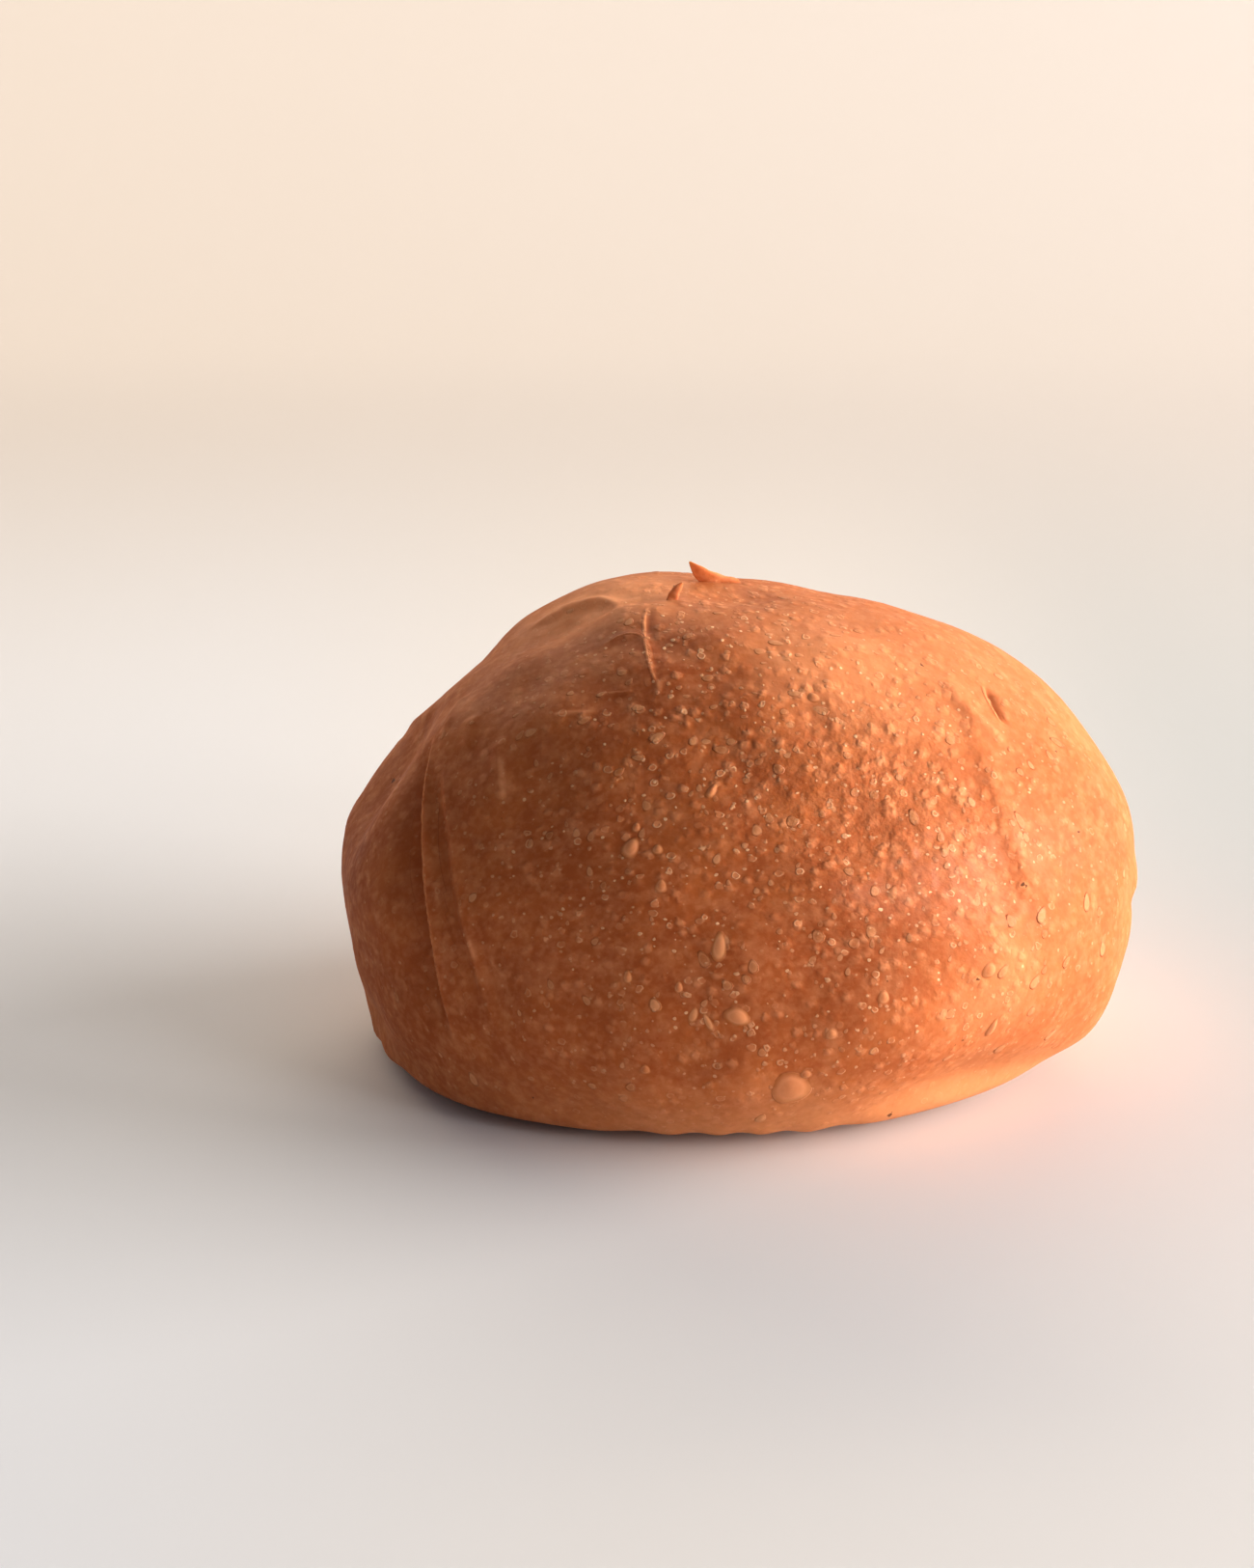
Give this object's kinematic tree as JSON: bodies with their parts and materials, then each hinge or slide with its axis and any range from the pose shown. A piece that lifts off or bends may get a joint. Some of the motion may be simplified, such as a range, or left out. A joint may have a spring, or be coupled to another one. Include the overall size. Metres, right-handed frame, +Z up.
{
  "type": "brioche bun",
  "caption": "Round baked bun with a leaning glazed dome, tucked folds, a torn seam on the crown and a flat underside.",
  "frame": {"origin": "middle of the bun's outline, on the surface it rests on", "axes": "+X across the bun to its fuller shoulder, +Y from its front to its back, +Z up"},
  "size_m": [0.0942, 0.0914, 0.057],
  "materials": {
    "crust": null
  },
  "bodies": {
    "root": {"bun": "crust"}
  },
  "joints": []
}
